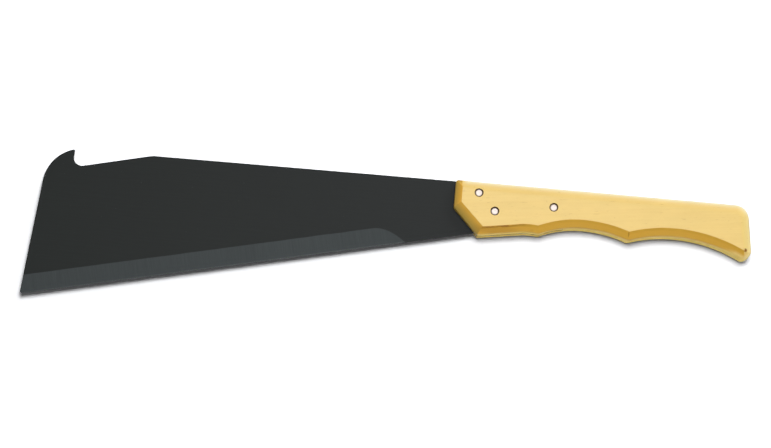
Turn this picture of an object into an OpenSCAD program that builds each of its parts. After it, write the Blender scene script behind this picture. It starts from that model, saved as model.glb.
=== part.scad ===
// A cane machete lying on its side: a hooked blade, a one-piece wooden handle and three rivets.
// X runs along the handle's back towards its butt, Y towards the back and Z up.
// The origin is on the handle's underside, at half its length and halfway down the grip.
// Lengths along X are taken from the handle's front edge, and drops and depths from the front end of its back.

/* [Blade] */
// Thickness of the steel
blade_t = 2; // [1.4:0.1:3]
// Length from the handle's front edge to the toe
blade_l = 318.6; // [300:0.1:360]
// Drop from the handle's back to the toe
toe_drop = 116.3; // [100:0.1:130]
// Height of the cutting edge above the handle's nose, where that edge enters the handle
heel_rise = 1.5; // [0.5:0.1:4]
// Lean of the blade's front edge, in degrees
front_lean = 5.3; // [2:0.1:9]
// Radius of the toe
toe_r = 2; // [0.5:0.1:5]

/* [Spine and hook] */
// Distance from the handle's front edge to the spine's peak
peak_l = 230; // [190:1:250]
// Drop from the handle's back to the spine's peak
peak_drop = 2.1; // [0:0.1:5]
// Radius of the spine's peak
peak_r = 30; // [5:1:60]
// Slope of the spine from its peak down to the hook, in degrees
notch_slope = 13.6; // [8:0.1:18]
// Width of the hook, from the blade's front edge to the throat
hook_w = 21.4; // [15:0.1:28]
// Radius of the hook's throat
throat_r = 6.3; // [4.5:0.1:8]
// Height of the beak's tip above the centre of the throat
beak_h = 5.9; // [3:0.1:9]
// Reach of the beak's tip over the throat
beak_over = 0.5; // [0:0.1:2]
// Drop from the handle's back to where the front edge starts to curve into the beak
hook_drop = 28; // [20:0.5:40]
// Radius of the beak's tip
beak_r = 0.8; // [0.3:0.1:1.5]

/* [Bevel] */
// Width of the ground bevel on each side
bevel_w = 14; // [8:0.5:22]
// Thickness left at the cutting edge
edge_t = 0.4; // [0.2:0.1:1]
// Distance along the cutting edge from the handle to the end of the bevel
bevel_stop = 55; // [30:1:100]
// Length over which the bevel runs out
runout_l = 23; // [10:1:40]

/* [Tang] */
// Length of the tang in the handle
tang_l = 82; // [80:1:100]
// Drop of the tang's upper edge below the handle's back
tang_drop = 0.4; // [0:0.1:3]
// Radius of the tang's rear corners
tang_r = 4; // [1:0.5:5]

/* [Handle] */
// Length of the handle
handle_l = 226; // [205:1:260]
// Thickness of the handle
handle_t = 24; // [18:0.5:32]
// Width of the chamfer along the back, the belly and the butt, seen from the side
chamfer_w = 5.5; // [2:0.5:6]
// Width of the chamfer along the front edge
front_chamfer_w = 5; // [2:0.5:6]
// Width of the chamfer along the slant
slant_chamfer_w = 6.8; // [3:0.1:8]
// Depth of the chamfer through the handle's thickness
chamfer_h = 4; // [2:0.5:6]
// Rise of the back from the front edge to the butt
back_rise = 0.8; // [0:0.1:2]
// Drop from the front end of the back to where the front edge turns into the slant
front_h = 21.2; // [16:0.1:24]
// Angle between the slant and the back, in degrees
slant_angle = 45; // [40:1:55]
// Depth of the handle at its nose, below the slant
nose_h = 40; // [38:0.5:44]
// Slope of the straight belly behind the nose, in degrees
belly_slope = 8.9; // [6:0.1:10]
// Distance from the front edge to the end of the straight belly
belly_l = 50; // [35:1:55]
// Distance from the front edge to the first ridge
ridge_1_l = 64.5; // [60:0.5:72]
// Depth of the handle at the first ridge
ridge_1_h = 35.4; // [34:0.1:37]
// Distance from the front edge to the ridge between the two finger hollows
ridge_2_l = 133; // [120:0.5:145]
// Depth of the handle at the ridge between the finger hollows
ridge_2_h = 33.8; // [31:0.1:36]
// Distance from the front edge to the top of the first finger hollow
hollow_1_l = 99; // [92:1:108]
// Distance from the front edge to the top of the second finger hollow
hollow_2_l = 168; // [160:1:180]
// Depth of the handle at the top of both finger hollows
grip_h = 28; // [24:0.1:30]
// Depth of the handle at the butt
butt_h = 40.2; // [36:0.1:46]
// Lean of the butt's end, in degrees
butt_lean = 7.5; // [0:0.5:15]
// Radius of the butt's upper corner on the flat face
butt_r = 5.5; // [1:0.5:12]

/* [Saw cut] */
// Clearance between the tang and each wall of the saw cut
cut_clear = 0.1; // [0.05:0.05:0.3]
// Clearance behind the tang's end
cut_end_clear = 1; // [0.5:0.5:3]

/* [Rivets] */
// Diameter of a rivet's shank
shank_d = 4.2; // [3:0.1:4.8]
// Diameter of a rivet's heads
head_d = 5.3; // [5:0.1:6.5]
// Height of a rivet's heads
head_h = 1.2; // [0.6:0.1:2]
// Depth of a head's top below the flat face
head_sink = 1.2; // [0.2:0.1:1.5]
// Clearance around a shank, in the wood and in the tang
shank_clear = 0.1; // [0.05:0.05:0.3]
// Clearance around a head in its seat
head_clear = 0.4; // [0.1:0.1:0.8]
// Distance from the front edge to the upper front rivet
front_top_l = 18; // [14:0.5:24]
// Drop from the back to the upper front rivet
front_top_drop = 9; // [9:0.5:12]
// Distance from the front edge to the lower front rivet
front_low_l = 31; // [27:0.5:40]
// Drop from the back to the lower front rivet
front_low_drop = 22; // [19:0.5:25]
// Distance from the tang's end to the rear rivet
rear_margin = 7; // [5:0.5:20]
// Drop from the back to the rear rivet
rear_drop = 15; // [12:0.5:18]

/* [Hidden] */

steel_color = [0.19, 0.2, 0.2];
wood_color = [0.94, 0.82, 0.54];
rivet_color = [0.85, 0.85, 0.86];

// Straight pieces to an arc, and sides to a full circle
arc_steps = 14;
round_sides = 48;
chamfer_sides = 32;
// How far a cutting shape runs past what it cuts
overrun = 5;
// Cuts through the handle and the bevel are this many times as wide as what they cross
cut_spread = 4;

front_top = [front_top_l, -front_top_drop];
front_low = [front_low_l, -front_low_drop];
rear = [tang_l - rear_margin, -rear_drop];
seat_h = head_sink + head_h;

// Points on the arc that leaves start in a heading, in degrees, and arrives at end, without its ends
function arc_between(start, heading, end) =
    let (chord = end - start,
         turn = (atan2(chord.y, chord.x) - heading + 540) % 360 - 180)
    [for (i = [1:arc_steps - 1])
        let (share = i / arc_steps,
             a = turn * share,
             reach = norm(chord) * (abs(turn) < 0.01 ? share : sin(a) / sin(turn)))
        start + reach * [cos(heading + a), sin(heading + a)]];

function backwards(points) = [for (i = [1:len(points)]) points[len(points) - i]];

// Points of the arc of radius r that rounds a corner between its two neighbours
function rounded(before, corner, after, r) =
    let (to_before = (before - corner) / norm(before - corner),
         to_after = (after - corner) / norm(after - corner),
         reach = r / tan(acos(to_before * to_after) / 2),
         start = corner + reach * to_before,
         end = corner + reach * to_after,
         heading = atan2(-to_before.y, -to_before.x))
    concat([start], arc_between(start, heading, end), [end]);

// The cutting edge is one straight line from the toe to where it meets the handle's slant,
// and the tang's lower edge carries it on
toe = [-blade_l, -toe_drop];
heel_drop = nose_h - heel_rise;
heel = [(heel_drop - front_h) / tan(slant_angle), -heel_drop];
edge_angle = atan2(heel.y - toe.y, heel.x - toe.x);

peak = [-peak_l, -peak_drop];
hook_start = [toe.x + (toe_drop - hook_drop) * tan(front_lean), -hook_drop];
throat_l = -hook_start.x - hook_w - throat_r;
throat_floor_drop = peak_drop + (throat_l - peak_l) * tan(notch_slope);
throat = [-throat_l, throat_r / cos(notch_slope) - throat_floor_drop];
throat_side = throat - [throat_r, 0];
throat_end = throat + throat_r * [sin(notch_slope), -cos(notch_slope)];
beak = throat_side + [beak_over, beak_h];
beak_arc = arc_between(hook_start, 90 - front_lean, beak);
tang_start = [0, -tang_drop];
tang_top = [tang_l, -tang_drop];
tang_low = [tang_l, heel.y + (tang_l - heel.x) * tan(edge_angle)];

blade_outline = concat(
    rounded(heel, toe, hook_start, toe_r),
    [hook_start],
    beak_arc,
    rounded(beak_arc[arc_steps - 2], beak, throat_side, beak_r),
    [throat_side],
    arc_between(throat_side, -90, throat_end),
    [throat_end],
    rounded(throat_end, peak, [0, 0], peak_r),
    [[0, 0], tang_start],
    rounded(tang_start, tang_top, tang_low, tang_r),
    rounded(tang_top, tang_low, heel, tang_r));

// The bevel falls from the blade's side to the edge by this much
bevel_fall = (blade_t - edge_t) / 2;
bevel_angle = atan(bevel_fall / bevel_w);
// The grinding wheel's radius follows from how far it takes to leave the steel
wheel_r = (pow(runout_l, 2) + pow(bevel_fall, 2)) / (2 * bevel_fall);
// The wheel's path is drawn a fifth longer than that, so that it ends clear of the steel
wheel_turn = 1.2 * asin(runout_l / wheel_r);

// What a wheel takes off one side of the edge: flat along the bevel, then rising as the wheel leaves
module ground_off() {
    wheel_x = -bevel_stop - runout_l;
    past_toe = -blade_l - toe_drop;
    wheel_path = [for (i = [0:arc_steps])
        let (a = wheel_turn * i / arc_steps)
        [wheel_x + wheel_r * sin(a), wheel_r * (1 - cos(a))]];
    top = wheel_path[arc_steps];
    profile = concat(
        [[past_toe, overrun], [past_toe, 0]],
        wheel_path,
        [[top.x, overrun]]);
    translate([heel.x, heel.y, edge_t / 2])
        rotate([0, 0, edge_angle])
            rotate([90 + bevel_angle, 0, 0])
                linear_extrude(cut_spread * bevel_w, center = true) polygon(profile);
}

// Round holes through everything, one for each rivet, drawn about the handle's middle plane
module rivet_holes(d, h, z = 0) {
    for (place = [front_top, front_low, rear])
        translate([place.x, place.y, z])
            cylinder(d = d, h = h, center = true, $fn = round_sides);
}

// Moves a shape drawn from the front of the handle's back, about its middle plane, to the origin
module placed() {
    translate([-handle_l / 2, grip_h / 2, handle_t / 2]) children();
}

module blade() {
    color(steel_color) placed() difference() {
        linear_extrude(blade_t, center = true) polygon(blade_outline);
        ground_off();
        mirror([0, 0, 1]) ground_off();
        rivet_holes(shank_d + 2 * shank_clear, blade_t + overrun);
    }
}

// The outline of the flat faces lies inside the handle's own by the width of the chamfer
function on_face(l, depth) = [l, chamfer_w - depth];

nose_l = (nose_h - chamfer_w - front_h + slant_chamfer_w / cos(slant_angle)) / tan(slant_angle);
nose = on_face(nose_l, nose_h);
belly_end = nose + (belly_l - nose_l) * [1, tan(belly_slope)];
ridge_1 = on_face(ridge_1_l, ridge_1_h);
ridge_2 = on_face(ridge_2_l, ridge_2_h);
hollow_1 = on_face(hollow_1_l, grip_h);
hollow_2 = on_face(hollow_2_l, grip_h);
butt_low = on_face(handle_l - chamfer_w, butt_h);
butt_top_drop = chamfer_w - back_rise;
butt_top = [butt_low.x - (butt_h - chamfer_w - butt_top_drop) * tan(butt_lean), -butt_top_drop];

// The front is drawn too long here, then cut off square and slanting
front_l = cut_spread * overrun;
long_back = [-front_l, -chamfer_w - front_l * back_rise / butt_top.x];
long_nose = nose + (long_back.x - nose_l) * [1, tan(belly_slope)];

// Both sides of a finger hollow, from the corner on its right over its top to the corner on its left
function hollow(right, top, left) = concat(
    backwards(arc_between(top, 0, right)), [top], arc_between(top, 180, left));

face_outline = concat(
    [long_back],
    rounded(long_back, butt_top, butt_low, butt_r),
    [butt_low],
    hollow(butt_low, hollow_2, ridge_2),
    [ridge_2],
    hollow(ridge_2, hollow_1, ridge_1),
    [ridge_1],
    backwards(arc_between(belly_end, belly_slope, ridge_1)),
    [belly_end, long_nose]);

// The wood to take off along a straight edge of the handle, with chamfers of width w.
// The edge runs along Y through the origin, and the waste is on its +X side.
module edge_waste(w) {
    wall = handle_t - 2 * chamfer_h;
    top = handle_t / 2 + overrun;
    inset = (chamfer_h + overrun) * w / chamfer_h;
    side = [[-inset, top], [0, wall / 2], [0, -wall / 2], [-inset, -top], [nose_h, -top], [nose_h, top]];
    rotate([90, 0, 0]) linear_extrude(cut_spread * nose_h, center = true) polygon(side);
}

module handle() {
    color(wood_color) placed() difference() {
        minkowski() {
            linear_extrude(handle_t - 2 * chamfer_h, center = true) polygon(face_outline);
            for (side = [0, 180])
                rotate([side, 0, 0])
                    cylinder(r1 = chamfer_w, r2 = 0, h = chamfer_h, $fn = chamfer_sides);
        }
        rotate([0, 0, 180]) edge_waste(front_chamfer_w);
        translate([0, -front_h, 0]) rotate([0, 0, 270 - slant_angle]) edge_waste(slant_chamfer_w);
        saw_cut();
        rivet_holes(shank_d + 2 * shank_clear, handle_t + overrun);
        for (side = [-1, 1])
            rivet_holes(head_d + 2 * head_clear, 2 * seat_h, side * handle_t / 2);
    }
}

// The cut that takes the tang, open at the front, the back and the belly
module saw_cut() {
    cut_t = blade_t + 2 * cut_clear;
    cut_w = cut_spread * nose_h;
    translate([long_back.x, -cut_w / 2, -cut_t / 2])
        cube([tang_l + cut_end_clear - long_back.x, cut_w, cut_t]);
}

// A rivet's shank runs between the two seats, with a head on each
module rivet(place) {
    shank_h = handle_t - 2 * seat_h;
    color(rivet_color) placed() translate([place.x, place.y, 0]) {
        cylinder(d = shank_d, h = shank_h, center = true, $fn = round_sides);
        for (side = [0, 180])
            rotate([side, 0, 0]) translate([0, 0, shank_h / 2])
                cylinder(d = head_d, h = head_h, $fn = round_sides);
    }
}

module rivet_front_top() rivet(front_top);
module rivet_front_low() rivet(front_low);
module rivet_rear() rivet(rear);

blade();
handle();
rivet_front_top();
rivet_front_low();
rivet_rear();
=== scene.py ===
from math import acos, atan2, cos, pi, radians, sin, sqrt, tan

import bmesh
import bpy
from mathutils import Matrix, Vector, noise


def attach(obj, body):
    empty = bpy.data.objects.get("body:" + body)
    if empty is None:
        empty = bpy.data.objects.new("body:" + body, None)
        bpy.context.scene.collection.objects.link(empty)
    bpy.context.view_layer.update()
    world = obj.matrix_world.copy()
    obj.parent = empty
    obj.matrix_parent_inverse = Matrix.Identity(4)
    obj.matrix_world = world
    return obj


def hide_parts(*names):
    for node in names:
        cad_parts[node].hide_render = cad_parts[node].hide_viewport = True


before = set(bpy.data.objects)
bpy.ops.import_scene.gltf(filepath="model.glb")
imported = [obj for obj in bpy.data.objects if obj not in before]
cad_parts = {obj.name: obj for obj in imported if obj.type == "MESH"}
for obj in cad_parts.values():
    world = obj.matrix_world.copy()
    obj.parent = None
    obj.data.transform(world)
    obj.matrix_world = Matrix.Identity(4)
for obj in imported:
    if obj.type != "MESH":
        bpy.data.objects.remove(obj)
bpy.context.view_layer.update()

mm = 0.001
print("frame loaded:", sorted(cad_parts))


# Sizes are in millimetres, taken from the handle's front edge, its back and its middle plane.
def place(x, y, z):
    return Vector((x - handle["length"] / 2, y + handle["gripHeight"] / 2, z + handle["thickness"] / 2)) * mm


def arcBetween(start, heading, end, steps):
    # leaves start along heading and arrives at end, without those two points
    chord = end - start
    turn = (atan2(chord.y, chord.x) - heading + 3 * pi) % (2 * pi) - pi
    points = []
    for i in range(1, steps):
        a = turn * i / steps
        reach = chord.length * (i / steps if abs(turn) < 1e-4 else sin(a) / sin(turn))
        points.append(start + reach * Vector((cos(heading + a), sin(heading + a))))
    return points


def roundedCorner(before, corner, after, radius, steps):
    toBefore, toAfter = (before - corner).normalized(), (after - corner).normalized()
    reach = radius / tan(acos(toBefore.dot(toAfter)) / 2)
    start, end = corner + reach * toBefore, corner + reach * toAfter
    return [start] + arcBetween(start, atan2(-toBefore.y, -toBefore.x), end, steps) + [end]


def evenly(points, step):
    # the same line with points added where they are further apart than step
    filled = [points[0]]
    for a, b in zip(points, points[1:]):
        count = max(1, round((b - a).length / step))
        filled += [a.lerp(b, i / count) for i in range(1, count + 1)]
    return filled


def leftOf(direction):
    return Vector((-direction.y, direction.x)).normalized()


def outwards(points):
    # outward directions of a closed clockwise outline, longer at its corners
    directions = []
    for i, point in enumerate(points):
        a = leftOf(point - points[i - 1])
        b = leftOf(points[(i + 1) % len(points)] - point)
        directions.append((a + b) / (1 + a.dot(b)))
    return directions


def newPiece(name, mesh):
    piece = bpy.data.objects.new(name, mesh)
    bpy.context.scene.collection.objects.link(piece)
    return piece


def meshFrom(name, points, faces):
    mesh = bpy.data.meshes.new(name)
    mesh.from_pydata(points, [], faces)
    shape = bmesh.new()
    shape.from_mesh(mesh)
    bmesh.ops.remove_doubles(shape, verts=shape.verts, dist=1e-6)
    bmesh.ops.recalc_face_normals(shape, faces=shape.faces)
    shape.to_mesh(mesh)
    shape.free()
    return mesh


def turned(name, profile, sides, centre):
    # a closed lathe shape about Z from (radius, height) points, the first and last on the axis
    points, faces = [], []
    for radius, height in profile:
        for i in range(sides):
            a = 2 * pi * i / sides
            points.append(place(centre[0] + radius * cos(a), centre[1] + radius * sin(a), height))
    for ring in range(len(profile) - 1):
        for i in range(sides):
            j = (i + 1) % sides
            faces.append([ring * sides + i, ring * sides + j, (ring + 1) * sides + j, (ring + 1) * sides + i])
    return newPiece(name, meshFrom(name, points, faces))


def cutAway(piece, cutters):
    # takes each cutter out of the piece and leaves a plain mesh
    for cutter in cutters:
        cut = piece.modifiers.new(cutter.name, "BOOLEAN")
        cut.operation, cut.solver, cut.object = "DIFFERENCE", "EXACT", cutter
    plain(piece)
    for cutter in cutters:
        bpy.data.objects.remove(cutter)
    # points that a cut left almost on top of each other become one
    shape = bmesh.new()
    shape.from_mesh(piece.data)
    bmesh.ops.remove_doubles(shape, verts=shape.verts, dist=2e-6)
    bmesh.ops.dissolve_degenerate(shape, edges=shape.edges, dist=1e-6)
    shape.to_mesh(piece.data)
    shape.free()


def plain(piece):
    # bakes what the modifiers make into the piece's own mesh
    bpy.context.view_layer.update()
    made = bpy.data.meshes.new_from_object(piece.evaluated_get(bpy.context.evaluated_depsgraph_get()))
    piece.modifiers.clear()
    piece.data = made


def shadeByShape(mesh, flatAbove, crease, corner=40):
    # smooth, with crisp lines around the flat sides, at creases in them and at real corners, in degrees
    shape = bmesh.new()
    shape.from_mesh(mesh)
    for face in shape.faces:
        face.smooth = True
    for edge in shape.edges:
        if len(edge.link_faces) != 2:
            continue
        flats = [abs(face.normal.z) > flatAbove for face in edge.link_faces]
        angle = edge.calc_face_angle(0)
        edge.smooth = flats[0] == flats[1] and angle < radians(crease if flats[0] else corner)
    shape.to_mesh(mesh)
    shape.free()


handle = {
    "length": 226, "thickness": 24, "gripHeight": 28,
    "chamferWidth": 5.5, "frontChamfer": 5.4, "slantChamfer": 6.8, "chamferDepth": 4,
    # the arris and the outer edge as the belly's cutter left them, and as sanded along the back and the butt
    "cutRadii": (0.7, 1.6), "sandedRadii": (7, 4.2), "fadeLength": 14,
    "backRise": 0.8, "frontHeight": 21.2, "slantAngle": 45,
    "noseHeight": 40, "bellySlope": 8.9, "bellyLength": 50,
    "ridgeFront": (64.5, 35.4), "ridgeRear": (133, 33.8),
    "hollowFront": 99, "hollowRear": 168,
    "buttHeight": 40.2, "buttLean": 7.5, "buttRadius": 5.5, "buttCut": 0.5,
    "cornerSoftness": 0.35,     # share of the chamfer that rounds the three front corners
    "ridgeHold": 0.3,           # share of the chamfer that a ridge crosses as a sharp crease
    # how far hand sanding moved the edges, over what lengths, and the short waves' share
    "arrisWander": 0.2, "wallWander": 0.14, "arrisWaves": (17, 3.5), "wallWave": 9, "shortWaves": 0.35,
    "step": 1.6, "arcSteps": 26, "cornerSteps": 8, "arrisSteps": 7, "wallSteps": 6,
    "faceMargin": 0.5,          # the face's own points keep this far from the arris
}
tang = {
    "length": 82, "drop": 0.4, "radius": 4, "endClearance": 1, "cutWidth": 2.2,
    "cutOver": 5, "cutDepth": 60,       # the saw's path starts outside the wood and goes right through it
}
rivets = {
    "places": {"rivet_front_top": (18, -9), "rivet_front_low": (31, -22), "rivet_rear": (75, -15)},
    "shankRadius": 2.1, "headRadius": 2.8, "headHeight": 1.2, "sink": 1.2,
    "boreRadius": 2.2, "seatRadius": 3.2, "rimEase": 0.15,
    # the dome falls away with a power of the distance, and the dimple covers a share of the head
    "dome": 0.4, "domePower": 5.0, "dimple": 0.1, "dimpleReach": 0.34,
    "sides": 48, "headRings": 14, "boreSides": 64, "firstTurn": 0.9, "turnStep": 1.7,
}


def handleRuns():
    # the flat face's outline, clockwise, as smooth runs with the chamfer's width along each one, whether it
    # is sanded, how round the corner after it is and how far across the chamfer that rounding starts
    h, w, steps = handle, handle["chamferWidth"], handle["arcSteps"]
    slant, slope, lean = (radians(h[k]) for k in ("slantAngle", "bellySlope", "buttLean"))
    onFace = lambda length, depth: Vector((length, w - depth))
    front, slantSide = h["frontChamfer"], h["slantChamfer"]
    ridgeFront, ridgeRear = onFace(*h["ridgeFront"]), onFace(*h["ridgeRear"])
    hollowFront, hollowRear = (onFace(h[name], h["gripHeight"]) for name in ("hollowFront", "hollowRear"))
    buttLow = onFace(h["length"] - w, h["buttHeight"])
    buttTop = Vector((buttLow.x - (h["buttHeight"] - 2 * w + h["backRise"]) * tan(lean), h["backRise"] - w))
    frontTop = Vector((front, front * h["backRise"] / buttTop.x - w))
    frontSlant = Vector((front, (slantSide - front * sin(slant)) / cos(slant) - h["frontHeight"]))
    noseLength = (h["noseHeight"] - w - h["frontHeight"] + slantSide / cos(slant)) / tan(slant)
    nose = onFace(noseLength, h["noseHeight"])
    bellyEnd = nose + (h["bellyLength"] - nose.x) * Vector((1, tan(slope)))
    hollow = lambda right, top, left: (
        [right] + arcBetween(top, 0, right, steps)[::-1] + [top] + arcBetween(top, pi, left, steps) + [left])
    rearHollow = hollow(buttLow, hollowRear, ridgeRear)
    besideButt = (buttTop, rearHollow[1])
    buttEnd, bellyStart = (buttLow + h["buttCut"] * (point - buttLow).normalized() for point in besideButt)
    back = [frontTop] + roundedCorner(frontTop, buttTop, buttEnd, h["buttRadius"], steps) + [buttEnd]
    belly = [ridgeFront] + arcBetween(bellyEnd, slope, ridgeFront, steps)[::-1] + [bellyEnd, nose]
    runs = [
        (back, w, 1, 1, 0),
        ([buttEnd, bellyStart], w, 0, 1, 0),
        ([bellyStart] + rearHollow[1:], w, 0, 1, h["ridgeHold"]),
        (hollow(ridgeRear, hollowFront, ridgeFront), w, 0, 1, h["ridgeHold"]),
        (belly, w, 0, h["cornerSoftness"], 0),
        ([nose, frontSlant], slantSide, 0, h["cornerSoftness"], 0),
        ([frontSlant, frontTop], front, 0, h["cornerSoftness"], 0),
    ]
    return [(evenly(points, h["step"]), *shape) for points, *shape in runs]


def handleSamples():
    # each sample is a point of the outline with its way out to the mitred edge, how a rounded corner departs
    # from that, how far the sample is sanded and its corner's shape
    runs, samples = handleRuns(), []
    for i, (points, width, smoothed, roundness, hold) in enumerate(runs):
        sides = [leftOf(b - a) for a, b in zip(points, points[1:])]
        for j, (point, a, b) in enumerate(zip(points[1:], sides, sides[1:]), 1):
            soft = smoothed * min(1, min(j, len(sides) - j) * handle["step"] / handle["fadeLength"])
            samples.append((point, (a + b).normalized() * width, Vector((0, 0)), soft, 0, 0))
        following, nextWidth = runs[(i + 1) % len(runs)][:2]
        a, b = sides[-1], leftOf(following[1] - following[0])
        # the mitre lies one chamfer's width beyond the first side and the other's beyond the second
        mitre = Vector((width * b.y - nextWidth * a.y, nextWidth * a.x - width * b.x))
        mitre /= a.x * b.y - a.y * b.x
        turn = acos(a.dot(b))
        for j in range(handle["cornerSteps"] + 1):
            swung = Matrix.Rotation(-turn * j / handle["cornerSteps"], 2) @ a
            bend = (width + nextWidth) / 2 * (swung - (a + b) / (1 + a.dot(b)))
            samples.append((points[-1], mitre, bend, 0, roundness, hold))
    return samples


def handleRings(arrisRadius, wallRadius):
    # (distance out from the face's outline, height) from the upper face down to the lower one
    w, top = handle["chamferWidth"], handle["thickness"] / 2
    low = top - handle["chamferDepth"]
    face, arris, corner, middle = Vector((-w, top)), Vector((0, top)), Vector((w, low)), Vector((w, 0))
    upper = roundedCorner(face, arris, corner, arrisRadius, handle["arrisSteps"])
    lower = roundedCorner(arris, corner, middle, wallRadius, handle["wallSteps"])
    half = [upper[0] - Vector((handle["faceMargin"], 0))] + upper
    half += [upper[-1].lerp(lower[0], t) for t in (0.25, 0.5, 0.75)]
    half += lower + [Vector((w, low * t)) for t in (0.6, 0.3)]
    return half + [middle] + [Vector((ring.x, -ring.y)) for ring in reversed(half)]


def sanded(point, height, out):
    # how far sanding moved this spot: both ways along the arris, only inwards on the walls
    spot = Vector((point.x, point.y, height))
    longWave, shortWave = handle["arrisWaves"]
    along = noise.noise(spot / longWave) + handle["shortWaves"] * noise.noise(spot / shortWave)
    share = min(1, max(0, out / handle["chamferWidth"]))
    elsewhere = Vector((7, 3, 5))       # so that the wall's waves differ from the arris's
    wall = -handle["wallWander"] * (0.5 + 0.5 * noise.noise(spot / handle["wallWave"] + elsewhere))
    return handle["arrisWander"] * along * (1 - share) + wall * share


def makeHandle():
    samples = handleSamples()
    rings = list(zip(handleRings(*handle["cutRadii"]), handleRings(*handle["sandedRadii"])))
    points, faces = [], []
    for crisp, rounded in rings:
        side = handle["thickness"] if crisp.y > 0 else -handle["thickness"]
        for point, outward, bend, soft, roundness, hold in samples:
            ring = crisp.lerp(rounded, soft)
            moved = sanded(point, side, ring.x) if ring.x > -handle["faceMargin"] else 0
            out = (ring.x + moved) / handle["chamferWidth"]
            radius = roundness * out * min(1, max(0, out - hold) / (1 - hold))
            spot = point + outward * out + bend * radius
            points.append(place(spot.x, spot.y, ring.y))
    count = len(samples)
    for i in range(len(rings) - 1):
        for j in range(count):
            k = (j + 1) % count
            faces.append([i * count + j, i * count + k, (i + 1) * count + k])
            faces.append([i * count + j, (i + 1) * count + k, (i + 1) * count + j])
    faces.append(list(range(count)))
    faces.append(list(range((len(rings) - 1) * count, len(rings) * count)))
    return newPiece("handleWood", meshFrom("handleWood", points, faces))


def boreCutter(name, centre):
    # the bore, a seat at each side and a slightly eased rim
    face, ease = handle["thickness"] / 2, rivets["rimEase"]
    seat = face - rivets["sink"] - rivets["headHeight"]
    half = [(rivets["boreRadius"], seat), (rivets["seatRadius"], seat), (rivets["seatRadius"], face - ease),
            (rivets["seatRadius"] + 2 * ease, face + ease), (0, face + ease)]
    profile = [(radius, -height) for radius, height in reversed(half)] + half
    return turned(name, profile, rivets["boreSides"], centre)


def sawCutter():
    # the saw's path, open at the front, the back and the belly
    ends = (-tang["cutOver"], tang["length"] + tang["endClearance"])
    sides = (tang["cutOver"], -tang["cutDepth"])
    half = tang["cutWidth"] / 2
    corners = [place(x, y, z) for x in ends for y in sides for z in (-half, half)]
    faces = [(0, 1, 3, 2), (4, 6, 7, 5), (0, 4, 5, 1), (2, 3, 7, 6), (0, 2, 6, 4), (1, 5, 7, 3)]
    return newPiece("sawPath", meshFrom("sawPath", corners, faces))


handlePiece = makeHandle()
cutters = [sawCutter()] + [boreCutter("bore_" + name, centre) for name, centre in rivets["places"].items()]
cutAway(handlePiece, cutters)
shadeByShape(handlePiece.data, flatAbove=0.9995, crease=1)
print("handle shaped:", len(handlePiece.data.polygons), "faces")


blade = {
    "thickness": 2, "length": 318.6, "toeDrop": 116.3, "heelRise": 1.5, "frontLean": 5.3, "toeRadius": 2,
    "peakLength": 230, "peakDrop": 2.1, "peakRadius": 30, "notchSlope": 13.6,
    "hookWidth": 21.4, "hookDrop": 28, "throatRadius": 6.3,
    "beakHeight": 5.9, "beakOver": 0.5, "beakRadius": 0.8,
    "bevelWidth": 14, "edgeThickness": 0.4, "bevelStop": 52.5, "runoutLength": 23,
    # each rim is eased in steps, given as shares of the ease inwards and down, the latter
    # never more than a share of half the thickness
    "rimEase": 0.12, "rimSteps": ((0.04, 1), (0.15, 0.5), (0.5, 0.13), (1, 0)), "rimShare": 0.4,
    "arcSteps": 20, "beakSteps": 10, "tangSteps": 8, "runoutSteps": 24, "searchStep": 0.05,
    # how far and over what lengths the hand-held grind left the bevel's straight border
    "borderWander": 0.3, "borderWaves": (16, 6), "borderSteps": 90, "borderEase": 8,
}


def bladeFacts():
    # what the outline and the bevel both follow from
    b, slant = blade, radians(handle["slantAngle"])
    toe = Vector((-b["length"], -b["toeDrop"]))
    drop = handle["noseHeight"] - b["heelRise"]
    heel = Vector(((drop - handle["frontHeight"]) / tan(slant), -drop))
    along = (toe - heel).normalized()
    fall = (b["thickness"] - b["edgeThickness"]) / 2
    return {
        "toe": toe, "heel": heel, "along": along, "up": Vector((along.y, -along.x)),
        "fall": fall, "slope": fall / b["bevelWidth"],
        "wheel": (b["runoutLength"] ** 2 + fall ** 2) / (2 * fall),
        "full": b["bevelStop"] + b["runoutLength"],
    }


facts = bladeFacts()


def wheelRise(distance):
    # how far the wheel has left the bevel's plane at this distance from the heel
    left = max(0, facts["full"] - distance)
    return facts["wheel"] - sqrt(facts["wheel"] ** 2 - left ** 2)


def halfThickness(point):
    distance, height = (point - facts["heel"]).dot(facts["along"]), (point - facts["heel"]).dot(facts["up"])
    if distance < blade["bevelStop"]:
        return blade["thickness"] / 2
    ground = blade["edgeThickness"] / 2 + max(0, height) * facts["slope"] + wheelRise(distance)
    return min(blade["thickness"] / 2, ground)


def fromEdge(distance, height):
    return facts["heel"] + distance * facts["along"] + height * facts["up"]


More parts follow.
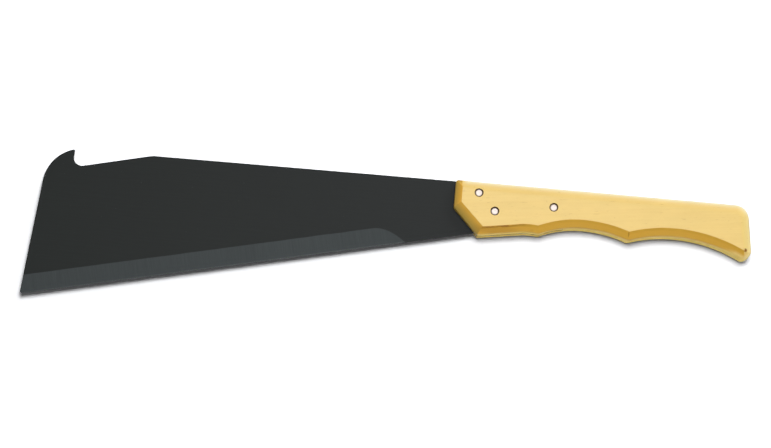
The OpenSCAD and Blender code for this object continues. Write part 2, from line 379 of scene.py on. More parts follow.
def bladeOutline():
    # clockwise from the toe, with points on the front edge and under the run-out for the bevel's border
    b, steps = blade, blade["arcSteps"]
    toe, heel = facts["toe"], facts["heel"]
    lean, notch = radians(b["frontLean"]), radians(b["notchSlope"])
    hookStart = Vector((toe.x + (b["toeDrop"] - b["hookDrop"]) * tan(lean), -b["hookDrop"]))
    peak = Vector((-b["peakLength"], -b["peakDrop"]))
    throatX = hookStart.x + b["hookWidth"] + b["throatRadius"]
    floor = peak.y + (throatX - peak.x) * tan(notch)
    throat = Vector((throatX, floor + b["throatRadius"] / cos(notch)))
    throatSide = throat - Vector((b["throatRadius"], 0))
    throatEnd = throat + b["throatRadius"] * Vector((sin(notch), -cos(notch)))
    beak = throatSide + Vector((b["beakOver"], b["beakHeight"]))
    beakArc = arcBetween(hookStart, pi / 2 - lean, beak, steps)
    origin, tangStart = Vector((0, 0)), Vector((0, -tang["drop"]))
    tangTop = Vector((tang["length"], -tang["drop"]))
    tangLow = fromEdge((heel.x - tang["length"]) / -facts["along"].x, 0)
    ease = b["rimEase"]
    front = (hookStart - toe).normalized()
    rise = (b["bevelWidth"] - (toe - heel).dot(facts["up"])) / front.dot(facts["up"])
    border = toe + rise * front
    # the run-out's marks start where its border clears the eased rim and crowd towards the full width
    stop = b["bevelStop"]
    while wheelRise(stop) > facts["fall"] - ease * facts["slope"]:
        stop += b["searchStep"]
    shares = [1 - (1 - i / b["runoutSteps"]) ** 1.5 for i in range(b["runoutSteps"] + 1)]
    marks = [stop + (facts["full"] - stop) * share for share in shares]
    outline = roundedCorner(heel, toe, hookStart, b["toeRadius"], steps)
    toeCount = len(outline)
    outline += [border, hookStart] + beakArc
    outline += roundedCorner(beakArc[-1], beak, throatSide, b["beakRadius"], b["beakSteps"]) + [throatSide]
    outline += arcBetween(throatSide, -pi / 2, throatEnd, steps) + [throatEnd]
    outline += roundedCorner(throatEnd, peak, origin, b["peakRadius"], steps) + [origin, tangStart]
    outline += roundedCorner(tangStart, tangTop, tangLow, tang["radius"], b["tangSteps"])
    outline += roundedCorner(tangTop, tangLow, heel, tang["radius"], b["tangSteps"])
    return outline + [fromEdge(mark, 0) for mark in marks], toeCount, marks


def makeBlade():
    outline, borderIndex, marks = bladeOutline()
    directions, count, ease = outwards(outline), len(outline), blade["rimEase"]
    firstMark = count - len(marks)
    points, faces = [], []
    for side in (1, -1):
        base = len(points)
        for inward, down in blade["rimSteps"]:
            for point, outward in zip(outline, directions):
                spot = point - outward * ease * inward
                fall = min(ease, blade["rimShare"] * halfThickness(point)) * down
                points.append(place(spot.x, spot.y, side * (halfThickness(point - outward * ease) - fall)))
        for ring in range(len(blade["rimSteps"]) - 1):
            for j in range(count):
                k = (j + 1) % count
                faces.append([base + ring * count + j, base + ring * count + k,
                              base + (ring + 1) * count + k, base + (ring + 1) * count + j])
        rim = base + (len(blade["rimSteps"]) - 1) * count
        border = len(points)    # the bevel's border, from the run-out's end up to its full width
        for mark in marks[1:]:
            height = (facts["fall"] - wheelRise(mark)) / facts["slope"]
            spot = fromEdge(mark, height)
            points.append(place(spot.x, spot.y, side * blade["thickness"] / 2))
        last = border + len(marks) - 2
        start, front = points[last], points[rim + borderIndex]
        longWave, shortWave = blade["borderWaves"]
        for i in range(1, blade["borderSteps"]):
            spot = start.lerp(front, i / blade["borderSteps"])
            along = (spot - start).length / mm
            wander = noise.noise(Vector((along / longWave, side, 0)))
            wander += 0.5 * noise.noise(Vector((along / shortWave, side, 4)))
            ends = min(1, i / blade["borderEase"], (blade["borderSteps"] - i) / blade["borderEase"])
            shift = (blade["borderWander"] * wander * ends * facts["up"]).to_3d() * mm
            points.append(Vector((spot.x, spot.y, start.z)) + shift)
        wandering = list(range(last + 1, len(points)))
        flat = [rim + j for j in range(borderIndex, firstMark + 1)] + list(range(border, len(points)))
        faces.append(flat)
        faces.append([rim + firstMark, rim + firstMark + 1, border])
        for j in range(1, len(marks) - 1):
            faces.append([rim + firstMark + j, rim + firstMark + j + 1, border + j, border + j - 1])
        faces.append([rim + j for j in range(borderIndex + 1)] + wandering[::-1] + [last, rim + count - 1])
    half = len(points) // 2
    for j in range(count):
        k = (j + 1) % count
        faces.append([j, k, half + k, half + j])
    return newPiece("bladeSteel", meshFrom("bladeSteel", points, faces))


bladePiece = makeBlade()
reach, radius = blade["thickness"], rivets["boreRadius"]
drill = [(0, -reach), (radius, -reach), (radius, reach), (0, reach)]
holes = [
    turned("hole_" + name, drill, rivets["boreSides"], centre) for name, centre in rivets["places"].items()]
cutAway(bladePiece, holes)
shadeByShape(bladePiece.data, flatAbove=0.98, crease=2)
print("blade shaped:", len(bladePiece.data.polygons), "faces")


def feed(socket, value):
    if isinstance(value, bpy.types.NodeSocket):
        socket.id_data.links.new(value, socket)
    else:
        socket.default_value = value


def addNode(tree, kind, inputs=None, **settings):
    made = tree.nodes.new(kind)
    for name, value in settings.items():
        setattr(made, name, value)
    for key, value in (inputs or {}).items():
        feed(made.inputs[key], value)
    return made


def output(tree, kind, inputs=None, **settings):
    return addNode(tree, kind, inputs, **settings).outputs[0]


def treeOf(values):
    # the tree that the sockets among the values belong to
    return next(value.id_data for value in values if isinstance(value, bpy.types.NodeSocket))


def calc(operation, *values, clamp=False):
    inputs = dict(enumerate(values))
    return output(treeOf(values), "ShaderNodeMath", inputs, operation=operation, use_clamp=clamp)


def times(*values, clamp=False):
    return calc("MULTIPLY", *values, clamp=clamp)


def vectorCalc(operation, *values):
    return output(treeOf(values), "ShaderNodeVectorMath", dict(enumerate(values)), operation=operation)


def scaled(vector, factor):
    return output(vector.id_data, "ShaderNodeVectorMath", {0: vector, "Scale": factor}, operation="SCALE")


def lengthOf(vector):
    return addNode(vector.id_data, "ShaderNodeVectorMath", {0: vector}, operation="LENGTH").outputs["Value"]


def axes(vector):
    return addNode(vector.id_data, "ShaderNodeSeparateXYZ", {0: vector}).outputs


def vectorOf(**parts):
    return output(treeOf(parts.values()), "ShaderNodeCombineXYZ", parts)


def noiseTexture(spot, scale, detail, roughness=0.5):
    inputs = {"Vector": spot, "Scale": scale, "Detail": detail, "Roughness": roughness}
    return addNode(spot.id_data, "ShaderNodeTexNoise", inputs).outputs


def spread(value, low, high, toLow=0.0, toHigh=1.0, kind="LINEAR"):
    inputs = dict(enumerate((value, low, high, toLow, toHigh)))
    return output(value.id_data, "ShaderNodeMapRange", inputs, interpolation_type=kind)


def linear(colour):
    # a screen colour from 0 to 255 as a shader takes it
    return tuple(((c / 255 + 0.055) / 1.055) ** 2.4 for c in colour) + (1,)


def mixColour(amount, first, second, how="MIX"):
    # first and second are sockets or screen colours
    first, second = (linear(shade) if isinstance(shade, tuple) else shade for shade in (first, second))
    tree, inputs = treeOf((amount, first, second)), {0: amount, 6: first, 7: second}
    return addNode(tree, "ShaderNodeMix", inputs, data_type="RGBA", blend_type=how).outputs[2]


def newGroup(name, kind, inputs, outputs):
    group = bpy.data.node_groups.new(name, kind)
    for label, (socketKind, value) in inputs.items():
        socket = group.interface.new_socket(label, in_out="INPUT", socket_type="NodeSocket" + socketKind)
        if value is not None:
            socket.default_value = value
    for label, socketKind in outputs.items():
        group.interface.new_socket(label, in_out="OUTPUT", socket_type="NodeSocket" + socketKind)
    return group, group.nodes.new("NodeGroupInput").outputs, group.nodes.new("NodeGroupOutput").inputs


def makeRivetTree():
    # one rivet: a shank between two heads, each a disc with a domed and slightly dimpled top
    sizes = {
        "Length": handle["thickness"] - 2 * (rivets["sink"] + rivets["headHeight"]),
        "Shank Radius": rivets["shankRadius"], "Head Radius": rivets["headRadius"],
        "Head Height": rivets["headHeight"], "Dome": rivets["dome"], "Dimple": rivets["dimple"],
    }
    inputs = {label: ("Float", size * mm) for label, size in sizes.items()}
    inputs.update({
        "Place": ("Vector", None), "Turn": ("Float", None), "Sides": ("Int", rivets["sides"]),
        "Material": ("Material", None)})
    tree, given, result = newGroup("peenedRivet", "GeometryNodeTree", inputs, {"Geometry": "Geometry"})
    shank = addNode(tree, "GeometryNodeMeshCylinder", {
        "Vertices": given["Sides"], "Radius": given["Shank Radius"], "Depth": given["Length"]})
    head = addNode(tree, "GeometryNodeMeshCylinder", {
        "Vertices": given["Sides"], "Fill Segments": rivets["headRings"],
        "Radius": given["Head Radius"], "Depth": given["Head Height"]})
    position = output(tree, "GeometryNodeInputPosition")
    fromAxis = lengthOf(vectorCalc("MULTIPLY", position, (1, 1, 0)))
    share = calc("DIVIDE", fromAxis, given["Head Radius"])
    fallen = times(calc("POWER", share, rivets["domePower"]), given["Dome"])
    dented = spread(share, 0.0, rivets["dimpleReach"], 1.0, 0.0, "SMOOTHSTEP")
    down = times(calc("ADD", fallen, times(dented, given["Dimple"])), -1.0)
    onTop = calc("GREATER_THAN", axes(position)[2], times(given["Head Height"], 0.4))
    move = vectorOf(Z=times(down, onTop))
    domed = output(tree, "GeometryNodeSetPosition", {"Geometry": head.outputs["Mesh"], "Offset": move})
    reach = times(calc("ADD", given["Length"], given["Head Height"]), 0.5)
    ends = output(tree, "GeometryNodeMeshLine", {
        "Count": 2, "Start Location": vectorOf(Z=reach), "Offset": vectorOf(Z=times(reach, -2.0))})
    flip = vectorOf(X=times(output(tree, "GeometryNodeInputIndex"), pi))
    flip = output(tree, "FunctionNodeEulerToRotation", {0: flip})
    heads = output(tree, "GeometryNodeInstanceOnPoints", {
        "Points": ends, "Instance": domed, "Rotation": flip})
    joined = addNode(tree, "GeometryNodeJoinGeometry")
    for part in (shank.outputs["Mesh"], heads):
        feed(joined.inputs[0], part)
    placed = output(tree, "GeometryNodeTransform", {
        "Geometry": joined.outputs[0], "Translation": given["Place"], "Rotation": vectorOf(Z=given["Turn"])})
    solid = output(tree, "GeometryNodeRealizeInstances", {"Geometry": placed})
    feed(result["Geometry"], output(tree, "GeometryNodeSetMaterial", {
        "Geometry": solid, "Material": given["Material"]}))
    return tree


def makeRivet(name, tree, centre, turn, material):
    piece = newPiece(name, bpy.data.meshes.new(name))
    modifier = piece.modifiers.new("rivet", "NODES")
    modifier.node_group = tree
    sockets = {item.name: item.identifier for item in tree.interface.items_tree if item.in_out == "INPUT"}
    for label, value in {"Place": place(*centre, 0), "Turn": turn, "Material": material}.items():
        modifier[sockets[label]] = value
    plain(piece)
    shadeByShape(piece.data, flatAbove=2, crease=0)     # no side counts as flat
    return piece


def makeStreaksGroup():
    # long thin marks along one direction: wood fibres, grinding lines, rolling lines
    tree, given, result = newGroup("streaks", "ShaderNodeTree", {
        "Vector": ("Vector", None), "Stretch": ("Vector", (100, 1000, 1000)), "Wander": ("Float", 0.0),
        "Low": ("Float", 0.4), "High": ("Float", 0.6),
    }, {"Amount": "Float"})
    drift = noiseTexture(given["Vector"], scale=22.0, detail=2.0)["Color"]
    bent = scaled(vectorCalc("SUBTRACT", drift, (0.5, 0.5, 0.5)), given["Wander"])
    spot = vectorCalc("MULTIPLY", vectorCalc("ADD", given["Vector"], bent), given["Stretch"])
    grain = noiseTexture(spot, scale=1.0, detail=3.0, roughness=0.6)[0]
    feed(result["Amount"], spread(grain, given["Low"], given["High"]))
    return tree


def makeDriftGroup():
    # slow changes of tone over a surface
    tree, given, result = newGroup("toneDrift", "ShaderNodeTree", {
        "Color": ("Color", None), "Vector": ("Vector", None),
        "Scale": ("Float", 20.0), "Amount": ("Float", 0.05),
    }, {"Color": "Color", "Amount": "Float"})
    cloud = noiseTexture(given["Vector"], given["Scale"], detail=4.0, roughness=0.55)[0]
    signed = spread(cloud, 0.3, 0.7, -1.0, 1.0)
    factor = calc("ADD", times(signed, given["Amount"]), 1.0)
    feed(result["Color"], scaled(given["Color"], factor))
    feed(result["Amount"], signed)
    return tree


def makeSpecksGroup():
    # small scattered spots: dust, pits and pores
    tree, given, result = newGroup("specks", "ShaderNodeTree", {
        "Vector": ("Vector", None), "Scale": ("Float", 900.0), "Coverage": ("Float", 0.1),
    }, {"Amount": "Float"})
    dots = noiseTexture(given["Vector"], given["Scale"], detail=1.0, roughness=0.4)[0]
    # spots lie where the noise tops a level, which is lower for more coverage
    level = calc("SUBTRACT", 0.82, times(given["Coverage"], 0.5))
    feed(result["Amount"], spread(dots, level, calc("ADD", level, 0.06), 0.0, 1.0, "SMOOTHSTEP"))
    return tree


def makeBlotGroup():
    # one soft-edged spot, an ellipsoid about its centre
    tree, given, result = newGroup("blot", "ShaderNodeTree", {
        "Vector": ("Vector", None), "Centre": ("Vector", (0, 0, 0)), "Size": ("Vector", (1, 1, 1)),
    }, {"Amount": "Float"})
    away = vectorCalc("SUBTRACT", given["Vector"], given["Centre"])
    distance = lengthOf(vectorCalc("DIVIDE", away, given["Size"]))
    feed(result["Amount"], spread(distance, 0.35, 1.0, 1.0, 0.0, "SMOOTHSTEP"))
    return tree


streaksGroup, driftGroup = makeStreaksGroup(), makeDriftGroup()
specksGroup, blotGroup = makeSpecksGroup(), makeBlotGroup()


def useGroup(group, **inputs):
    made = addNode(treeOf(inputs.values()), "ShaderNodeGroup", node_tree=group)
    for label, value in inputs.items():
        feed(made.inputs[label], value)
    return made.outputs


def streaks(spot, stretch, low, high, wander=0.0):
    return useGroup(streaksGroup, Vector=spot, Stretch=stretch, Wander=wander, Low=low, High=high)["Amount"]


def specks(spot, scale, coverage):
    return useGroup(specksGroup, Vector=spot, Scale=scale, Coverage=coverage)["Amount"]


def newMaterial(name, **constants):
    material = bpy.data.materials.new(name)
    material.use_nodes = True
    tree = material.node_tree
    shader = tree.nodes["Principled BSDF"]
    for label, value in constants.items():
        shader.inputs[label.replace("_", " ")].default_value = value
    surface = addNode(tree, "ShaderNodeTexCoord").outputs
    return material, shader, surface["Object"], surface["Normal"]


def setSurface(shader, colour, rough, height, strength, distance):
    relief = {"Height": height, "Strength": strength, "Distance": distance}
    feed(shader.inputs["Base Color"], colour)
    feed(shader.inputs["Roughness"], rough)
    feed(shader.inputs["Normal"], output(shader.id_data, "ShaderNodeBump", relief))


wood = {
    "light": (245, 212, 129), "dark": (229, 189, 103), "pore": (190, 142, 70),
    "amber": (222, 170, 57), "burn": (146, 94, 30), "sawn": (150, 122, 80), "bore": (70, 46, 24),
    "endAmber": (240, 181, 65), "endStainAndShade": (166, 138, 60), "endGrain": (226, 180, 92),
    "pale": (255, 249, 222), "butt": (252, 224, 140), "wall": (255, 223, 110), "thrown": (70, 70, 70),
    "turn": -6.5,   # degrees between the grain and the handle's back
    # patches of painted shade on the belly near the nose, at the two ridges and in the butt's lower corner:
    # centre, half size and strength
    "marks": [
        ((34, -36, 10), (26, 6, 3.5), 0.28),
        ((60, -36, 10), (3, 4, 3), 0.25),
        ((132.8, -30, 11), (0.8, 3.4, 4), 0.5),
        ((221.1, -34.0, 11.4), (2.2, 1.9, 2.4), 1),
    ],
    # heights above the middle plane from which the deep colour, partly painted shade, fades and at which it
    # ends
    "amberFades": {"nose": 8.4, "hollows": 7.8, "butt": 10.2},
    "amberEnds": {"nose": 7.2, "hollows": 1, "butt": 8.8},
    "amberBelow": (-7.4, -8.6),     # and between which it comes back on the lower chamfer
    # places along the handle between which a tone changes from its first value to its second
    "along": {
        "frontStainAndShade": (5.2, 4.6), "slantStainAndShade": (27, 25), "noseShade": (40, 60), "noseToHollow": (60, 75),
        "hollowToButt": (194, 214), "butt": (208, 214), "paleRim": (4.6, 9),
    },
}


def alongHandle(x, name, toLow=0.0, toHigh=1.0):
    low, high = (place(distance, 0, 0).x for distance in wood["along"][name])
    return spread(x, low, high, toLow, toHigh)


def woodColours(spot):
    # the colour, with how strong the fibres and the pores are
    broad = streaks(spot, (4, 150, 90), low=0.3, high=0.72, wander=0.002)
    bands = streaks(spot, (9, 620, 420), low=0.35, high=0.7, wander=0.0015)
    fibres = streaks(spot, (70, 3200, 3200), low=0.3, high=0.75)
    pores = streaks(spot, (110, 1500, 1500), low=0.64, high=0.72)
    tone = calc("ADD", times(broad, 0.2), times(bands, 0.13))
    tone = calc("ADD", tone, times(fibres, 0.1), clamp=True)
    colour = mixColour(tone, wood["light"], wood["dark"])
    colour = mixColour(times(pores, 0.5), colour, wood["pore"])
    blotches = vectorCalc("MULTIPLY", spot, (1, 2.2, 2.2))
    colour = useGroup(driftGroup, Color=colour, Vector=blotches, Scale=42.0, Amount=0.028)["Color"]
    return colour, fibres, pores


def makeVarnishedWood():
    material, shader, objectSpot, facing = newMaterial(
        "varnishedWood", Coat_Roughness=0.3, Specular_IOR_Level=0.2)
    tree, turn = material.node_tree, (0, 0, radians(wood["turn"]))
    spot = output(tree, "ShaderNodeMapping", {"Vector": objectSpot, "Rotation": turn})
    colour, fibres, pores = woodColours(spot)
    spotAxes, (nx, ny, nz) = axes(objectSpot), axes(facing)
    x, z = spotAxes[0], spotAxes[2]
    top, chamferEnd = handle["thickness"] / 2 * mm, (handle["thickness"] / 2 - handle["chamferDepth"]) * mm
    aboveMiddle = calc("SUBTRACT", z, top)
    offMiddle = calc("ABSOLUTE", aboveMiddle)
    level = calc("ABSOLUTE", nz)    # 1 on the faces, 0 on the walls
    offFace = spread(level, 0.9, 0.97, 1.0, 0.0)
    # the belly, the slant and the front, which face away from the lamps, are deeper in colour than the back:
    # partly a deeper stain where the cutter left them, partly painted shade
    onFront = spread(nx, -0.3, -0.1, 1.0, 0.0)
    stainAndShadeSide = calc("MAXIMUM", spread(ny, -0.25, 0.1, 1.0, 0.0), onFront)
    # how far down that reaches changes along the handle
    limits = []
    for heights in (wood["amberEnds"], wood["amberFades"]):
        limit = alongHandle(x, "noseToHollow", heights["nose"] * mm, heights["hollows"] * mm)
        rise = alongHandle(x, "hollowToButt", 0.0, (heights["butt"] - heights["hollows"]) * mm)
        limits.append(calc("ADD", limit, rise))
    # the front chamfer's colour also covers its whole width up to the back
    inFront = times(alongHandle(x, "frontStainAndShade"), spread(level, 0.2, 0.45))
    endSide = calc("MAXIMUM", spread(nx, -0.15, -0.3), inFront)
    endSide = times(endSide, alongHandle(x, "slantStainAndShade"))
    above = calc("MAXIMUM", endSide, spread(aboveMiddle, *limits))
    below = (height * mm for height in wood["amberBelow"])
    above = calc("MAXIMUM", above, spread(aboveMiddle, *below))
    stainedAndShaded = times(offFace, calc("MAXIMUM", stainAndShadeSide, endSide))
    amber = times(stainedAndShaded, times(above, 0.95))
    stainAndShade = mixColour(endSide, wood["amber"], wood["endAmber"])
    # the front and the slant darken down the chamfer, and the slant more, as it faces away from the lamps:
    # partly their fibres cut across, partly painted shade
    downChamfer = spread(offMiddle, 11.6 * mm, chamferEnd, 0.0, 0.85)
    cut = calc("ADD", downChamfer, spread(ny, -0.3, -0.1, 0.28, 0.0))
    crossCutAndShade = times(endSide, cut, clamp=True)
    stainAndShade = mixColour(crossCutAndShade, stainAndShade, wood["endStainAndShade"])
    colour = mixColour(amber, colour, mixColour(1.0, colour, stainAndShade, "DARKEN"))
    # a dark line painted beside each arris of the belly, painted shade where the chamfer turns away from the
    # lamps, broken up along the grain
    line = times(spread(offMiddle, top - 1.6 * mm, top - 0.6 * mm), spread(offMiddle, top, top - 0.2 * mm))
    broken = streaks(objectSpot, (160, 160, 900), low=0.25, high=0.55, wander=0.002)
    nearNose = alongHandle(x, "noseShade", 1.0, 0.15)
    onBelly = calc("SUBTRACT", stainAndShadeSide, endSide, clamp=True)
    burn = times(times(line, onBelly), times(broken, nearNose))
    for centre, size, strength in wood["marks"]:
        size = Vector(size) * mm
        mark = useGroup(blotGroup, Vector=objectSpot, Centre=place(*centre), Size=size)["Amount"]
        mark = times(times(mark, offFace), strength)
        burn = calc("MAXIMUM", burn, mark)
    endGrain = times(spread(calc("ABSOLUTE", nx), 0.85, 0.97), 0.35)
    colour = mixColour(endGrain, colour, wood["endGrain"])
    # the walls are painted lighter, painted light as from the white floor below them, and the outer part of
    # the chamfer along the back and the butt, which faces the lamps, gets a painted highlight
    onWall = spread(level, 0.5, 0.2)
    paintedWallLight = times(onWall, calc("SUBTRACT", 1.0, calc("MAXIMUM", amber, endSide)))
    colour = mixColour(times(paintedWallLight, 0.9), colour, wood["wall"])
    feed(shader.inputs["Coat Weight"], spread(onWall, 0.0, 1.0, 0.05, 0.0))
    # the butt, which faces the side lamp, is painted lighter: painted highlight
    onButt = times(spread(nx, 0.03, 0.45), alongHandle(x, "butt"))
    colour = mixColour(times(onButt, 0.85), colour, wood["butt"])
    # painted highlight: the outer part of the chamfer along the back and the butt, which faces the lamps,
    # turns pale
    outer = calc("POWER", spread(offMiddle, top, chamferEnd, 0.18, 1.0), 3.0)
    paleRim = calc("MAXIMUM", spread(ny, 0.02, 0.4), times(onButt, 0.3))
    paleRim = times(paleRim, calc("SUBTRACT", 1.0, onWall))
    paleRim = times(paleRim, alongHandle(x, "paleRim"))
    colour = mixColour(times(paleRim, outer), colour, wood["pale"])
    colour = mixColour(burn, colour, wood["burn"])
    dirt = specks(objectSpot, scale=520.0, coverage=0.16)
    colour = mixColour(times(dirt, 0.18), colour, wood["pore"])
    # the warm light it throws on the floor is held back, as the photo's shadows are nearly grey
    bounced = times(addNode(tree, "ShaderNodeLightPath").outputs["Is Diffuse Ray"], 0.9)
    colour = mixColour(bounced, colour, wood["thrown"])
    rough = calc("MAXIMUM", spread(fibres, 0.0, 1.0, 0.4, 0.52), times(onWall, 0.6))
    height = calc("SUBTRACT", times(fibres, 0.35), pores)
    setSurface(shader, colour, rough, height, strength=0.12, distance=0.15 * mm)
    return material


def makeBareWood(name, colour, depthOfTone):
    # wood with no varnish: in the saw cut and in the bores
    material, shader, objectSpot = newMaterial(name, Specular_IOR_Level=0.2)[:3]
    marks = streaks(objectSpot, (900, 220, 900), low=0.3, high=0.7)
    grain, fibres = woodColours(objectSpot)[:2]
    shade = mixColour(depthOfTone, grain, colour)
    shade = mixColour(times(marks, 0.3), shade, wood["bore"])
    rough = spread(marks, 0.0, 1.0, 0.7, 0.85)
    setSurface(shader, shade, rough, calc("ADD", marks, fibres), strength=0.35, distance=0.2 * mm)
    return material


steel = {
    "coat": (34, 37, 36), "coatSheenNear": (42, 44, 44), "coatWorn": (84, 88, 88),
    "ground": (49, 54, 55), "bare": (120, 124, 124),
    "roll": 0.03, "coatRoughness": 0.56, "groundRoughness": 0.5,
}


def edgeSpot(objectSpot):
    # coordinates that run along the cutting edge and up from it
    heel = place(facts["heel"].x, facts["heel"].y, 0)
    angle = atan2(-facts["along"].y, -facts["along"].x)
    moved = vectorCalc("SUBTRACT", objectSpot, heel)
    return output(moved.id_data, "ShaderNodeMapping", {"Vector": moved, "Rotation": (0, 0, -angle)})


def makeCoatedSteel():
    material, shader, objectSpot, facing = newMaterial("coatedSteel", Specular_IOR_Level=0.075)
    level = calc("ABSOLUTE", axes(facing)[2])
    rolled = streaks(objectSpot, (18, 900, 900), low=0.3, high=0.7, wander=0.003)
    # the coat is painted lighter towards the handle: a painted sheen
    ends = (place(distance, 0, 0).x for distance in (-blade["length"], 0))
    nearHandle = spread(axes(objectSpot)[0], *ends)
    colour = mixColour(nearHandle, steel["coat"], steel["coatSheenNear"])
    colour = mixColour(times(rolled, steel["roll"]), colour, steel["coatWorn"])
    drift = useGroup(driftGroup, Color=colour, Vector=objectSpot, Scale=16.0, Amount=0.1)
    pits = specks(objectSpot, scale=700.0, coverage=0.12)
    colour = mixColour(times(pits, 0.2), drift["Color"], steel["coatWorn"])
    rim = times(spread(level, 0.3, 0.6), spread(level, 0.93, 0.98, 1.0, 0.0))
    paleRim = streaks(objectSpot, (260, 260, 260), low=0.35, high=0.65)
    colour = mixColour(times(rim, times(paleRim, 0.7)), colour, steel["coatWorn"])
    rough = calc("ADD", times(drift["Amount"], 0.03), steel["coatRoughness"])
    rough = calc("ADD", rough, times(rolled, 0.04))
    setSurface(shader, colour, rough, calc("ADD", rolled, pits), strength=0.08, distance=0.05 * mm)
    return material


def makeGroundSteel():
    material, shader, objectSpot = newMaterial("groundSteel", Specular_IOR_Level=0.1, Metallic=0.1)[:3]
    spot = edgeSpot(objectSpot)
    upEdge = axes(spot)[1]
    lines = streaks(spot, (1500, 60, 60), low=0.3, high=0.7, wander=0.0015)
    coarse = streaks(spot, (260, 14, 14), low=0.35, high=0.65, wander=0.002)
    tone = calc("ADD", times(lines, 0.12), times(coarse, 0.06))
    # the bevel's colour is lighter and bluer than the coat's: partly its ground finish, partly a painted
    # sheen
    colour = mixColour(tone, steel["ground"], steel["coatWorn"], "LIGHTEN")
    drift = useGroup(driftGroup, Color=colour, Vector=objectSpot, Scale=20.0, Amount=0.06)
    # the coat is honed off in a narrow strip along the cutting edge
    ragged = calc("ADD", upEdge, times(coarse, -0.25 * mm))
    honed = spread(ragged, 0.5 * mm, 1.1 * mm, 1.0, 0.0, "SMOOTHSTEP")
    colour = mixColour(times(honed, 0.06), drift["Color"], steel["bare"])
    rough = calc("ADD", times(lines, 0.06), steel["groundRoughness"])
    rough = calc("SUBTRACT", rough, times(honed, 0.08))
    setSurface(shader, colour, rough, lines, strength=0.12, distance=0.04 * mm)
    return material


rivetLooks = {"light": (212, 202, 196), "dark": (197, 187, 181), "grime": (120, 96, 76), "seat": (90, 62, 36)}


def makeRivetMetal():
    material, shader, objectSpot, facing = newMaterial("rivetMetal", Metallic=1.0)
    level = calc("ABSOLUTE", axes(facing)[2])
    brushed = streaks(objectSpot, (500, 2600, 500), low=0.3, high=0.7, wander=0.001)
    colour = mixColour(brushed, rivetLooks["light"], rivetLooks["dark"])
    grime = specks(objectSpot, scale=1500.0, coverage=0.3)
    colour = mixColour(times(grime, 0.3), colour, rivetLooks["grime"])
    # the head's rounded edge is painted dark brown: painted shade from the seat around it
    colour = mixColour(spread(level, 0.9, 0.955, 0.85, 0.0), colour, rivetLooks["seat"])
    rough = spread(brushed, 0.0, 1.0, 0.66, 0.74)
    setSurface(shader, colour, rough, brushed, strength=0.1, distance=0.04 * mm)
    return material


coatedSteel, groundSteel, rivetMetal = makeCoatedSteel(), makeGroundSteel(), makeRivetMetal()
varnishedWood = makeVarnishedWood()
# the bores are darker than the saw cut: partly bare wood, partly painted shade deep in the seats
sawnWood, boreWood = makeBareWood("sawnWood", wood["sawn"], 0.6), makeBareWood("boreWood", wood["bore"], 0.85)
print("materials made")

handleMaterials, bladeMaterials = [varnishedWood, sawnWood, boreWood], [coatedSteel, groundSteel]
for piece, materials in ((handlePiece, handleMaterials), (bladePiece, bladeMaterials)):
    for material in materials:
        piece.data.materials.append(material)

# faces close around a rivet belong to its bore, and those on the cut's sides or at its end are sawn
rivetCentres = [place(*centre, 0).xy for centre in rivets["places"].values()]
boreReach = (rivets["seatRadius"] + 2.1 * rivets["rimEase"]) * mm
cutReach, middle = (tang["cutWidth"] / 2 + 0.02) * mm, handle["thickness"] / 2 * mm
cutEnd = tang["length"] + tang["endClearance"]
endStart, endStop = place(cutEnd - 0.1, 0, 0).x, place(cutEnd + tang["endClearance"], 0, 0).x
for face in handlePiece.data.polygons:
    corners = [handlePiece.data.vertices[i].co.xy for i in face.vertices]
    furthest = min(max((corner - centre).length for corner in corners) for centre in rivetCentres)
    inCut = abs(face.center.z - middle) < cutReach and face.center.x < endStop
    if furthest < boreReach:
        face.material_index = handleMaterials.index(boreWood)
    elif inCut and (abs(face.normal.z) > 0.99 or face.center.x > endStart):
        face.material_index = handleMaterials.index(sawnWood)

# the bevel's faces are those that lean a little
for face in bladePiece.data.polygons:
    if 0.98 < abs(face.normal.z) < 0.99999:
        face.material_index = bladeMaterials.index(groundSteel)

rivetTree = makeRivetTree()
rivetPieces = []
for count, (name, centre) in enumerate(rivets["places"].items()):
    parts = name.split("_")
    label = parts[0] + "".join(part.capitalize() for part in parts[1:])
    turn = rivets["firstTurn"] + rivets["turnStep"] * count
    rivetPieces.append(makeRivet(label, rivetTree, centre, turn, rivetMetal))
    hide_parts(name)
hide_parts("blade")
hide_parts("handle")
for piece in [bladePiece, handlePiece] + rivetPieces:
    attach(piece, "root")
print("rivets set")


studio = {
    # in metres, degrees and watts, with the sensor and the lens in millimetres
    "distance": 2.5, "target": (-0.16293, -0.02349, 0.012), "tilt": 9.928, "roll": 5.304,
    "sensor": 36, "lens": 154.76, "world": 0.07,
    "floorReach": 6, "floorDrop": 0.00002, "floorColour": 0.8, "floorSeen": (1.45, 1.46, 1.49),
    "whiteBeyond": (0.45, 0.9),
    "lamps": {
        "key": {"from": (0.03, 0.108, 1.0), "distance": 2.2, "size": 0.72, "power": 32.5},
        "side": {"from": (0.62, 1.05, 0.75), "distance": 2.4, "size": 1.5, "power": 19},
        "card": {"from": (0.2, -1.0, 0.06), "distance": 2.4, "size": 0.5, "power": 10.5},
    },
}


def makeCamera():
    tilt, roll = radians(studio["tilt"]), radians(studio["roll"])
    forward = Vector((0, sin(tilt), -cos(tilt)))
    right, up = Vector((1, 0, 0)), Vector((0, cos(tilt), sin(tilt)))
    right, up = right * cos(roll) + up * sin(roll), up * cos(roll) - right * sin(roll)
    data = bpy.data.cameras.new("camera")
    data.sensor_width, data.lens = studio["sensor"], studio["lens"]
    camera = newPiece("camera", data)
    eye = Vector(studio["target"]) - forward * studio["distance"]
    camera.matrix_world = Matrix.Translation(eye) @ Matrix((right, up, -forward)).transposed().to_4x4()
    bpy.context.scene.camera = camera


def seenDirectly(tree):
    # 1 for what the camera, a mirror or glass sees, 0 for light that bounces
    path = addNode(tree, "ShaderNodeLightPath").outputs
    seen = calc("MAXIMUM", path["Is Camera Ray"], path["Is Glossy Ray"])
    return calc("MAXIMUM", seen, path["Is Transmission Ray"])


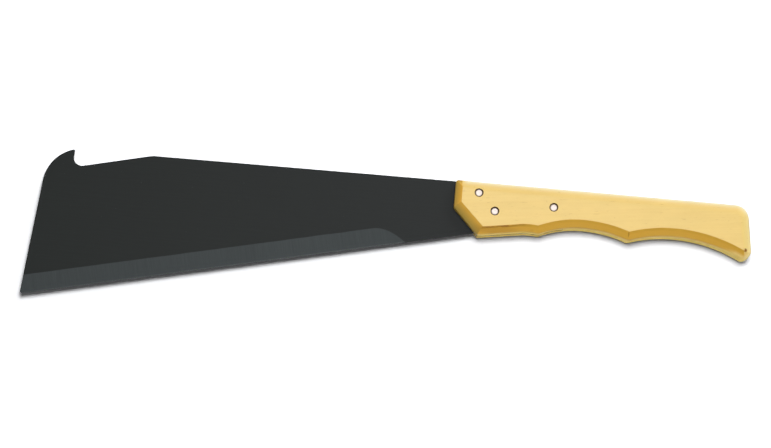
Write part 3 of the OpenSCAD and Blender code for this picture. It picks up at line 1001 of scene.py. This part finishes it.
def makeFloor():
    reach, drop = studio["floorReach"], studio["floorDrop"]
    corners = [(x * reach, y * reach, -drop) for x, y in ((-1, -1), (1, -1), (1, 1), (-1, 1))]
    floor = newPiece("floor", meshFrom("floor", corners, [(0, 1, 2, 3)]))
    material = bpy.data.materials.new("paleFloor")
    material.use_nodes = True
    tree = material.node_tree
    tree.nodes.remove(tree.nodes["Principled BSDF"])
    lit = studio["floorColour"]
    bounce = output(tree, "ShaderNodeBsdfDiffuse", {"Color": (lit, lit, lit, 1)})
    near = output(tree, "ShaderNodeBsdfDiffuse", {"Color": studio["floorSeen"] + (1,)})
    # away from the object the floor goes over into the white around it
    spot = addNode(tree, "ShaderNodeTexCoord").outputs["Object"]
    away = vectorCalc("SUBTRACT", spot, studio["target"])
    far = spread(lengthOf(away), *studio["whiteBeyond"], 0.0, 1.0, "SMOOTHSTEP")
    white = output(tree, "ShaderNodeEmission", {"Color": (1, 1, 1, 1), "Strength": 1.0})
    shown = output(tree, "ShaderNodeMixShader", {0: far, 1: near, 2: white})
    mixed = output(tree, "ShaderNodeMixShader", {0: seenDirectly(tree), 1: bounce, 2: shown})
    feed(tree.nodes["Material Output"].inputs["Surface"], mixed)
    floor.data.materials.append(material)


def makeLights():
    for name, values in studio["lamps"].items():
        data = bpy.data.lights.new(name, "AREA")
        data.shape, data.size, data.energy = "DISK", values["size"], values["power"]
        lamp = newPiece(name, data)
        way = Vector(values["from"]).normalized()
        lamp.matrix_world = (Matrix.Translation(Vector(studio["target"]) + way * values["distance"])
                             @ way.to_track_quat("Z", "Y").to_matrix().to_4x4())
    world = bpy.data.worlds.new("studioSky")
    bpy.context.scene.world = world
    world.use_nodes = True
    tree = world.node_tree
    background = tree.nodes["Background"]
    background.inputs["Color"].default_value = (1, 1, 1, 1)
    strength = spread(seenDirectly(tree), 0.0, 1.0, studio["world"], 1.0)
    feed(background.inputs["Strength"], strength)


makeCamera()
makeFloor()
makeLights()
bpy.context.scene.view_settings.view_transform = "Standard"
print("studio ready")
